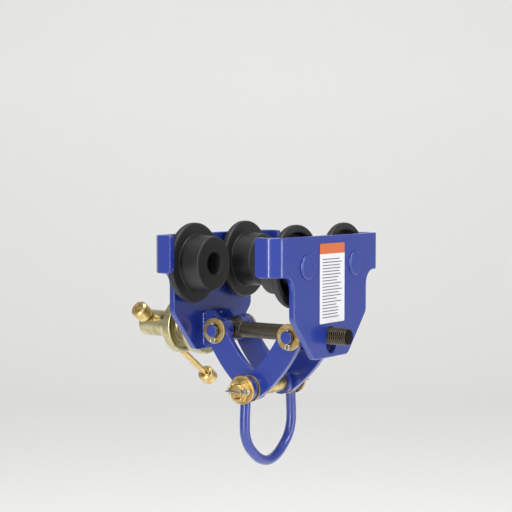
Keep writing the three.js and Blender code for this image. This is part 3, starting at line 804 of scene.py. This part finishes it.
def curved_arm():
    """An arm in X and Y. Its centre line is an arc from the trunnion to the load pin, bowed outwards."""
    top = Vector((TRUNNION_AT.x, TRUNNION_AT.z))
    low = Vector((0, LOAD_Z))
    chord = (low - top).length
    radius = (chord ** 2 / 4 + ARM_BOW ** 2) / (2 * ARM_BOW)
    along = (low - top).normalized()
    centre = (top + low) / 2 + Vector((along.y, -along.x)) * (radius - ARM_BOW)
    at_top = atan2(top.y - centre.y, top.x - centre.x)
    at_low = atan2(low.y - centre.y, low.x - centre.x)
    outline = arc(*centre, radius + ARM_HALF, at_top, at_low, 20)
    outline += arc(*low, ARM_HALF, at_low, at_low - pi, 24)[1:-1]
    outline += arc(*centre, radius - ARM_HALF, at_low, at_top, 20)
    outline += arc(*top, ARM_HALF, at_top + pi, at_top, 24)[1:-1]
    return flame_cut("arm", outline, [circle(*top, PIN_BORE), circle(*low, LOAD_BORE)], ARM_THICK, ARM_EDGE)


for side, sign, end, way in CORNERS:
    arm_y = centre_of(f"arm_{side}_{end}").y
    arm = placed(curved_arm(), FACING_Y, SIDE_TURN[sign], Vector((0, arm_y, 0)))
    piece(f"{side}_{end}_arm", arm, [blue_enamel], f"{side}_arms", [f"arm_{side}_{end}"])

# Spindle: a 16 mm bar with a 2 mm thread rolled on each half, right-handed on the near side and
# left-handed on the far side, so that one turn moves both plates. It is blackened and oiled.


def threaded_rod_tree():
    """A round bar along X, threaded outside a plain middle, with chamfered and closed ends."""
    sizes = ("Length", "Middle", "Radius", "Depth", "Pitch", "PlainCentre", "PlainHalf", "PlainRadius",
             "Chamfer", "FarHand")
    tree, given = open_tree("threaded rod", **dict.fromkeys(sizes, "Float"), Rings="Int", Material="Material")
    grid = add(tree, "GeometryNodeMeshGrid", {"Size X": given["Length"], "Size Y": 1.0, "Vertices Y": 49,
                                              "Vertices X": given["Rings"]})
    at = add(tree, "ShaderNodeSeparateXYZ", {0: add(tree, "GeometryNodeInputPosition")})
    x = add(tree, MATH, {0: at.outputs["X"], 1: given["Middle"]}, operation="ADD")
    near = add(tree, "FunctionNodeCompare", {"A": x, "B": given["PlainCentre"]}, operation="GREATER_THAN")
    hand = add(tree, "GeometryNodeSwitch", {"Switch": near, "False": given["FarHand"], "True": 1.0},
               input_type="FLOAT")
    turns = add(tree, MATH, {0: x, 1: given["Pitch"]}, operation="DIVIDE")
    helix = add(tree, MATH, {0: at.outputs["Y"], 1: hand, 2: turns},
                operation="MULTIPLY_ADD")
    flank = add(tree, MATH, {0: helix, 1: 0.5}, operation="PINGPONG")
    steep = add(tree, MATH, {0: flank, 1: 2.3}, operation="MULTIPLY", use_clamp=True)
    sunk = add(tree, MATH, {0: steep, 1: given["Depth"]}, operation="MULTIPLY")
    crest = add(tree, MATH, {0: given["Radius"], 1: sunk}, operation="SUBTRACT")
    off = add(tree, MATH, {0: x, 1: given["PlainCentre"]}, operation="SUBTRACT")
    away = add(tree, MATH, {0: off}, operation="ABSOLUTE")
    beyond = add(tree, MATH, {0: away, 1: given["PlainHalf"]}, operation="SUBTRACT")
    run_out = add(tree, MATH, {0: beyond, 1: given["Pitch"]}, operation="DIVIDE",
                  use_clamp=True)
    bar = add(tree, "ShaderNodeMix", {0: run_out, 2: given["PlainRadius"], 3: crest})
    half = add(tree, MATH, {0: given["Length"], 1: 0.5}, operation="MULTIPLY")
    out = add(tree, MATH, {0: at.outputs["X"]}, operation="ABSOLUTE")
    to_end = add(tree, MATH, {0: half, 1: out}, operation="SUBTRACT")
    face = add(tree, MATH, {0: given["Radius"], 1: given["Chamfer"]}, operation="SUBTRACT")
    cone = add(tree, MATH, {0: face, 1: to_end}, operation="ADD")
    shaped = add(tree, MATH, {0: bar, 1: cone}, operation="MINIMUM")
    inside = add(tree, MATH, {0: to_end, 1: 0.01 * MM}, operation="GREATER_THAN")
    radius = add(tree, MATH, {0: shaped, 1: inside}, operation="MULTIPLY")
    angle = add(tree, MATH, {0: at.outputs["Y"], 1: -2 * pi}, operation="MULTIPLY")
    cosine = add(tree, MATH, {0: angle}, operation="COSINE")
    sine = add(tree, MATH, {0: angle}, operation="SINE")
    y = add(tree, MATH, {0: cosine, 1: radius}, operation="MULTIPLY")
    z = add(tree, MATH, {0: sine, 1: radius}, operation="MULTIPLY")
    spot = add(tree, "ShaderNodeCombineXYZ", {"X": x, "Y": y, "Z": z})
    rod = add(tree, "GeometryNodeSetPosition", {"Geometry": grid, "Position": spot})
    whole = add(tree, "GeometryNodeMergeByDistance", {"Geometry": rod, "Distance": SAME_POINT})
    return close_tree(tree, whole, given["Material"])


threaded_rod = threaded_rod_tree()

spindle_low, spindle_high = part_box("spindle")
SPINDLE_R = 7.75 * MM
SPINDLE_PITCH = 2 * MM
SPINDLE_PLAIN = (-27 * MM, 21 * MM)
SPINDLE_PLAIN_R = 7.3 * MM
RING_STEP = 0.2 * MM
HUB_PIN_X = centre_of("hub_pin").x
TOMMY_X = centre_of("tommy_bar").x
HUB_PIN_R = 2.2 * MM
TOMMY_R = 3.3 * MM
TOMMY_HOLE = TOMMY_R + 0.6 * MM
# What turns with the spindle is made with its cross holes along Z, and then turned to its rest angle.
TURNED_TO_REST = Matrix.Rotation(radians(55), 4, "X")
ON_AXIS = Vector((0, 0, SPINDLE_Z))
spindle_length = float(spindle_high[0] - spindle_low[0])

rod = grown("spindle", threaded_rod, Length=spindle_length, Rings=round(spindle_length / RING_STEP) + 1,
            Middle=float(spindle_high[0] + spindle_low[0]) / 2, Radius=SPINDLE_R, Depth=1.15 * MM,
            Pitch=SPINDLE_PITCH, Chamfer=1.5 * MM, PlainCentre=sum(SPINDLE_PLAIN) / 2,
            PlainHalf=(SPINDLE_PLAIN[1] - SPINDLE_PLAIN[0]) / 2, PlainRadius=SPINDLE_PLAIN_R, FarHand=-1.0,
            Material=black_oxide)


def thread_with_painted_light(name, crest, root, high, low):
    """Blackened thread about the spindle's axis. Its colour is lighter on its crests and darker in its roots
    by the distance from the axis: a painted highlight and painted shade, made uneven by a smear noise.
    """
    material, tree, shader = surface(name, Metallic=0.9)
    where = add(tree, "ShaderNodeTexCoord").outputs["Object"]
    centred = add(tree, "ShaderNodeVectorMath", {0: where, 1: (0.0, 0.0, -SPINDLE_Z)}, operation="ADD")
    across = add(tree, "ShaderNodeVectorMath", {0: centred, 1: (0, 1, 1)}, operation="MULTIPLY")
    out = add(tree, "ShaderNodeVectorMath", {0: across}, operation="LENGTH")
    # Painted highlight and shade: 0 at the thread's roots and 1 at its crests, by the distance from the
    # spindle's axis.
    raised = add(tree, "ShaderNodeMapRange", {"Value": out.outputs["Value"], "From Min": low,
                                              "From Max": high})
    smear = add(tree, "ShaderNodeTexNoise", {"Vector": where, "Scale": 1 / (6 * MM), "Detail": 4.0})
    smear_spread = add(tree, "ShaderNodeMapRange", {"Value": smear, "To Min": 0.55, "To Max": 1.2})
    # The painted crest highlight, made uneven by the smear noise. It also sets the shine.
    wear_and_crest_light = add(tree, MATH, {0: raised, 1: smear_spread},
               operation="MULTIPLY", use_clamp=True)
    shade = add(tree, "ShaderNodeMix", {0: wear_and_crest_light, 6: linear(root), 7: linear(crest)}, data_type="RGBA")
    gloss = add(tree, "ShaderNodeMapRange", {"Value": wear_and_crest_light, "To Min": 0.5, "To Max": 0.28})
    fine = add(tree, "ShaderNodeTexNoise", {"Vector": where, "Scale": 1 / (0.5 * MM), "Detail": 3.0})
    bump = add(tree, "ShaderNodeBump", {"Height": fine, "Strength": 0.3, "Distance": 0.02 * MM})
    feed(tree, shader, {"Base Color": shade.outputs[2], "Roughness": gloss, "Normal": bump})
    return material


def cross_drilled(mesh, reach):
    """The spindle or its hub, drilled through for the tommy bar and for the cross pin."""
    return drilled(mesh, drill(TOMMY_HOLE, reach, Vector((TOMMY_X, 0, 0))),
                   drill(HUB_PIN_R + CLEARANCE, reach, Vector((HUB_PIN_X, 0, 0))))


# The spindle's thread colour holds a painted highlight on the crests and painted shade in the roots.
spindle_steel = thread_with_painted_light("black steel thread with painted crest highlight", "#857B6C", "#15110D", SPINDLE_R,
                             SPINDLE_R - 0.9 * MM)
rod = cross_drilled(rod, 12 * MM)
piece("spindle_bar", placed(rod, TURNED_TO_REST, ON_AXIS), [spindle_steel], "spindle",
      ["spindle"])

# Load pin: a plain half-inch pin with its ends threaded for the castle nuts and drilled for their
# split pins. A tube on it keeps the arms apart. Both are plated in yellow chromate zinc.
load_low, load_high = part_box("load_pin")
nut_low, nut_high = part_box("castle_nut_rear")
NUT_SPLIT_Y = centre_of("nut_cotter_rear").y
LOAD_AT = Vector((0, 0, LOAD_Z))
LOAD_PITCH = 1.95 * MM
LOAD_PLAIN = 41 * MM
QUARTER_TURN = Matrix.Rotation(pi / 2, 4, "Z")
load_length = float(load_high[1] - load_low[1])

pin = grown("load_pin", threaded_rod, Length=load_length, Middle=0.0, Radius=LOAD_PIN_R, Depth=1.1 * MM,
            Pitch=LOAD_PITCH, Rings=round(load_length / RING_STEP) + 1, Chamfer=1.0 * MM, Material=gold_zinc,
            PlainCentre=0.0, PlainHalf=LOAD_PLAIN, PlainRadius=LOAD_PIN_R, FarHand=1.0)
split_holes = [drill(SPLIT_HOLE, 9 * MM, ALONG_X, Vector((0, way * NUT_SPLIT_Y, 0))) for way in (-1, 1)]
pin = drilled(placed(pin, QUARTER_TURN), *split_holes)
piece("load_pin_bar", placed(pin, LOAD_AT), [gold_zinc], "load_pin_set", ["load_pin"])

low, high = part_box("spacer_tube")
tube = ring("tube", LOAD_BORE, 8.6 * MM, low[1], high[1], 0.4 * MM)
piece("load_pin_tube", placed(tube, ALONG_Y, LOAD_AT), [gold_zinc], "load_pin_set",
      ["spacer_tube"])

# Castle nuts, their washers and split pins: a hexagon with a turned crown that is milled with six
# slots. A split pin lies through two of them and the load pin, one leg bent back along the nut.
NUT_AF = 19 * MM
NUT_HEX = 4.6 * MM
CROWN_R = 8.3 * MM
SLOT_WIDE = 3.4 * MM
SLOT_DEEP = 2.7 * MM
CUTTER_HALF = 16 * MM
CUTTER_TALL = 6 * MM
nut_seat, nut_top = nut_low[1], nut_high[1]


def castle_nut():
    """A castle nut about Z, from its seat upwards, with one pair of slots along X."""
    hexagon = flame_cut("nut", circle(0, 0, NUT_AF / sqrt(3), 6), [circle(0, 0, LOAD_BORE)], NUT_HEX,
                        0.45 * MM)
    placed(hexagon, Vector((0, 0, NUT_HEX / 2)))
    crown = ring("crown", LOAD_BORE, CROWN_R, NUT_HEX - 0.6 * MM, nut_top - nut_seat, 0.5 * MM)
    holder = linked("nut", hexagon)
    tool = linked("crown", crown)
    union = holder.modifiers.new("crown", "BOOLEAN")
    union.operation = "UNION"
    union.solver = "EXACT"
    union.object = tool
    nut = set_down(holder)
    bpy.data.objects.remove(tool)
    cutter_at = Vector((0, 0, nut_top - nut_seat - SLOT_DEEP + CUTTER_TALL / 2))
    shape = [(x * CUTTER_HALF, y * SLOT_WIDE / 2) for x, y in ((-1, -1), (1, -1), (1, 1), (-1, 1))]
    slots = [placed(flame_cut("slot", shape, [], CUTTER_TALL, 0.3 * MM), cutter_at,
                    Matrix.Rotation(k * pi / 3, 4, "Z")) for k in range(3)]
    return drilled(nut, *slots)


for end, way in ENDS:
    flip = SIDE_TURN[way]
    for name, outer in (("eye_washer", 12.2 * MM), ("nut_washer", 13 * MM)):
        low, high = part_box(f"{name}_rear")
        washer = placed(ring("washer", LOAD_BORE, outer, low[1], high[1], 0.3 * MM), ALONG_Y, LOAD_AT, flip)
        piece(f"{end}_{name}", washer, [gold_zinc], "load_pin_set", [f"{name}_{end}"])
    nut = placed(castle_nut(), ALONG_Y, Vector((0, nut_seat, LOAD_Z)), flip)
    piece(f"{end}_castle_nut", nut, [gold_zinc], "load_pin_set", [f"castle_nut_{end}"])
    pin = split_pin(8.6 * MM, 9.9 * MM, 1.6 * MM, load_high[1] - NUT_SPLIT_Y + 0.9 * MM)
    placed(pin, ALONG_X, Vector((0, NUT_SPLIT_Y, LOAD_Z)), flip)
    piece(f"{end}_nut_split_pin", pin, [bright_steel], "load_pin_set", [f"nut_cotter_{end}"])

# Shackle: 3/8 inch bar bent to a bow, its ends forged into eyes on the load pin, then sprayed. The
# bar and the eyes are one forging, so they are run together before the eyes are bored.
bow_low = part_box("shackle")[0]
BAR_R = 4.75 * MM
EYE_OUT = 11 * MM
EYE_AT = 36.45 * MM
BOW_HALF = 37.8 * MM
BOW_WIDE_Z = -117 * MM
BOW_LOW = bow_low[2] + BAR_R
bow_half = [
    (EYE_AT, LOAD_Z - 8 * MM),
    (EYE_AT + 0.7 * MM, LOAD_Z - 18 * MM),
    (BOW_HALF, BOW_WIDE_Z),
    (BOW_HALF - 0.6 * MM, BOW_WIDE_Z - 10 * MM),
    (BOW_HALF - 5 * MM, BOW_WIDE_Z - 20 * MM),
    (BOW_HALF - 13 * MM, BOW_LOW + 10.8 * MM),
    (BOW_HALF * 0.36, BOW_LOW + 3.3 * MM),
]


def smooth_line(points, count=8):
    """A smooth line through points, by centripetal Catmull-Rom."""
    ends = [points[0] * 2 - points[1], *points, points[-1] * 2 - points[-2]]
    line = [points[0]]
    for a, b, c, d in zip(ends, ends[1:], ends[2:], ends[3:]):
        t1 = sqrt((b - a).length)
        t2 = t1 + sqrt((c - b).length)
        t3 = t2 + sqrt((d - c).length)
        for k in range(1, count + 1):
            t = t1 + (t2 - t1) * k / count
            ab = a * ((t1 - t) / t1) + b * (t / t1)
            bc = b * ((t2 - t) / (t2 - t1)) + c * ((t - t1) / (t2 - t1))
            cd = c * ((t3 - t) / (t3 - t2)) + d * ((t - t2) / (t3 - t2))
            abc = ab * ((t2 - t) / t2) + bc * (t / t2)
            bcd = bc * ((t3 - t) / (t3 - t1)) + cd * ((t - t1) / (t3 - t1))
            line.append(abc * ((t2 - t) / (t2 - t1)) + bcd * ((t - t1) / (t2 - t1)))
    return line


bow_points = [Vector((0, y, z)) for y, z in bow_half] + [Vector((0, 0, BOW_LOW))]
bow_points += [Vector((0, -y, z)) for y, z in reversed(bow_half)]
bow_line = drawn_line("bow", smooth_line(bow_points))
bar = grown("bow", bent_wire, bow_line, Radius=BAR_R, Material=blue_enamel)
eye_places = [Vector((0, way * EYE_AT, LOAD_Z)) for way in (-1, 1)]
eyes = [placed(round_bar(EYE_OUT, -BAR_R, BAR_R, 1.6 * MM), ALONG_Y, place) for place in eye_places]
forging = linked("forging", gathered("forging", [bar, *eyes]))
remesh = forging.modifiers.new("run together", "REMESH")
remesh.mode = "VOXEL"
remesh.voxel_size = 0.5 * MM
blend = forging.modifiers.new("forged blend", "SMOOTH")
blend.factor = 0.5
blend.iterations = 26
bow = drilled(set_down(forging), *[drill(LOAD_BORE, 8 * MM, ALONG_Y, place) for place in eye_places])
piece("shackle_bow", bow, [blue_enamel], "shackle", ["shackle"])

# Hub, its cross pin and washer: a turned steel boss and flange pinned to the end of the spindle,
# with a cross hole for the tommy bar. The pale chromate zinc has a green-gold tint.
# Pale chromate zinc: silvery with a straw and green cast, and fine turning marks in its shine.
pale_zinc = metal("pale chromate zinc plate", "#C6C09E", "#AAA073", (0.22, 0.42), 0.8 * MM, 0.012 * MM,
                  8 * MM)
hub_low, hub_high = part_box("hub")
HUB_OUT = 12.5 * MM
FLANGE_R = 26.5 * MM
FLANGE_FAR = -104 * MM
flange_near = hub_high[0]
hub_profile = [
    (SPINDLE_BORE, hub_low[0], 0.4 * MM),
    (HUB_OUT, hub_low[0], 1.2 * MM),
    (HUB_OUT, FLANGE_FAR, 1.5 * MM),
    (FLANGE_R, FLANGE_FAR, 1.6 * MM),
    (FLANGE_R, flange_near, 1.6 * MM),
    (FLANGE_R - 4 * MM, flange_near, 0.8 * MM),
    (FLANGE_R - 5 * MM, flange_near - 3 * MM, 1.0 * MM),
    (15 * MM, flange_near - 3 * MM, 1.0 * MM),
    (14 * MM, flange_near, 0.6 * MM),
    (SPINDLE_BORE, flange_near, 0.4 * MM),
]
hub = cross_drilled(placed(turned("hub", hub_profile, 96), ALONG_X), 16 * MM)
piece("hub_boss", placed(hub, TURNED_TO_REST, ON_AXIS), [pale_zinc], "spindle", ["hub"])

cross_pin = round_bar(HUB_PIN_R, 0.2 * MM - HUB_OUT, HUB_OUT - 0.2 * MM, 0.4 * MM)
placed(cross_pin, Vector((HUB_PIN_X, 0, 0)), TURNED_TO_REST, ON_AXIS)
piece("hub_cross_pin", cross_pin, [black_oxide], "spindle", ["hub_pin"])

low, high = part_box("hub_washer")
washer = ring("washer", SPINDLE_BORE, 13.5 * MM, low[0], high[0], 0.3 * MM)
piece("washer_by_hub", placed(washer, ALONG_X, ON_AXIS), [gold_zinc], "hub_washer",
      ["hub_washer"])

# Lock wheel: a turned steel wheel on the spindle's thread. It is spun up to the far plate to lock
# the width, and has the same pale plating as the hub.
lock_low, lock_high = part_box("lock_wheel")
LOCK_R = FLANGE_R - 0.5 * MM
lock_profile = [
    (SPINDLE_BORE, lock_low[0], 0.4 * MM),
    (14 * MM, lock_low[0], 0.6 * MM),
    (15 * MM, lock_low[0] + 2.5 * MM, 1.0 * MM),
    (LOCK_R - 4.5 * MM, lock_low[0] + 2.5 * MM, 1.0 * MM),
    (LOCK_R - 3.5 * MM, lock_low[0], 0.8 * MM),
    (LOCK_R, lock_low[0], 1.8 * MM),
    (LOCK_R, lock_high[0], 1.8 * MM),
    (SPINDLE_BORE, lock_high[0], 0.4 * MM),
]
wheel = placed(turned("lock_wheel", lock_profile, 96), ALONG_X, ON_AXIS)
piece("lock_wheel_disc", wheel, [pale_zinc], "lock_wheel", ["lock_wheel"])

# Tommy bar: a round bar that slides through the hub, with a turned knob pressed on each end so
# that it can't fall out. It is plated in yellow chromate zinc.
KNOB_R = 8.2 * MM
KNOB_HALF = 7.5 * MM
LONG_END = -108 * MM
SHORT_END = 13 * MM + KNOB_HALF
knob_profile = [
    (TOMMY_R + CLEARANCE, -KNOB_HALF, 0.3 * MM),
    (KNOB_R - 2 * MM, -KNOB_HALF, 0.6 * MM),
    (KNOB_R, 1.9 * MM - KNOB_HALF, 0.9 * MM),
    (KNOB_R, KNOB_HALF - 1.9 * MM, 0.9 * MM),
    (KNOB_R - 2 * MM, KNOB_HALF, 0.6 * MM),
    (TOMMY_R + CLEARANCE, KNOB_HALF, 0.3 * MM),
]
tommy = round_bar(TOMMY_R, LONG_END - KNOB_HALF + 1 * MM, SHORT_END + KNOB_HALF - 1 * MM, 0.6 * MM)
placed(tommy, Vector((TOMMY_X, 0, 0)), TURNED_TO_REST, ON_AXIS)
piece("tommy_bar_rod", tommy, [gold_zinc], "tommy_bar", ["tommy_bar"])
for name, at in (("long", LONG_END), ("short", SHORT_END)):
    knob = placed(turned("knob", knob_profile), Vector((TOMMY_X, 0, at)), TURNED_TO_REST, ON_AXIS)
    piece(f"{name}_tommy_knob", knob, [gold_zinc], "tommy_bar", [f"tommy_knob_{name}"])

# Label: a strip of white vinyl stuck to the near plate, with a plain orange band at its top and
# faint ruled lines. It carries no words.
label_low, label_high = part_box("label")
LABEL_HALF = label_high[1]
LABEL_THICK = 0.25 * MM
BAND = 9.2 * MM
RULE_STEP = 2.7 * MM
RULE_THICK = 0.32
MARGIN = 4 * MM


def label_vinyl():
    """Satin white vinyl film with an orange band printed across its top and grey rules below."""
    material, tree, shader = surface("satin white vinyl film", Roughness=0.42)
    where = add(tree, "ShaderNodeSeparateXYZ", {0: add(tree, "ShaderNodeTexCoord").outputs["Object"]})
    down = add(tree, MATH, {0: float(label_high[2]), 1: where.outputs["Z"]}, operation="SUBTRACT")
    band = add(tree, MATH, {0: down, 1: BAND}, operation="LESS_THAN")
    row = add(tree, MATH, {0: down, 1: RULE_STEP}, operation="DIVIDE")
    within = add(tree, MATH, {0: row}, operation="FRACT")
    rule = add(tree, MATH, {0: within, 1: RULE_THICK}, operation="LESS_THAN")
    number = add(tree, MATH, {0: row}, operation="FLOOR")
    ragged = add(tree, "ShaderNodeTexWhiteNoise", {"W": number}, noise_dimensions="1D")
    right = add(tree, "ShaderNodeMapRange", {"Value": ragged.outputs["Value"], "To Min": LABEL_HALF - 14 * MM,
                                             "To Max": LABEL_HALF - MARGIN})
    short = add(tree, MATH, {0: where.outputs["Y"], 1: right}, operation="LESS_THAN")
    left = add(tree, MATH, {0: where.outputs["Y"], 1: MARGIN - LABEL_HALF}, operation="GREATER_THAN")
    below = add(tree, MATH, {0: down, 1: BAND + 2.5 * MM}, operation="GREATER_THAN")
    above = add(tree, MATH, {0: down, 1: float(label_high[2] - label_low[2]) - 3 * MM},
                operation="LESS_THAN")
    ink = rule
    for limit in (short, left, below, above):
        ink = add(tree, MATH, {0: ink, 1: limit}, operation="MULTIPLY")
    film = add(tree, "ShaderNodeMix", {0: ink, 6: linear("#D2D1D5"), 7: linear("#4E4E55")},
               data_type="RGBA")
    printed = add(tree, "ShaderNodeMix", {0: band, 6: film.outputs[2], 7: linear("#BE6234")},
                  data_type="RGBA")
    feed(tree, shader, {"Base Color": printed.outputs[2]})
    return material


sheet_corners = [(-LABEL_HALF, label_low[2], 1 * MM), (LABEL_HALF, label_low[2], 1 * MM),
                 (LABEL_HALF, label_high[2], 1 * MM), (-LABEL_HALF, label_high[2], 1 * MM)]
film = flame_cut("label", rounded(sheet_corners), [], LABEL_THICK, 0.06 * MM)
placed(film, FACING_X, Vector((label_low[0] + LABEL_THICK / 2, 0, 0)))
piece("plate_label", film, [label_vinyl()], "near_plate", ["label"])
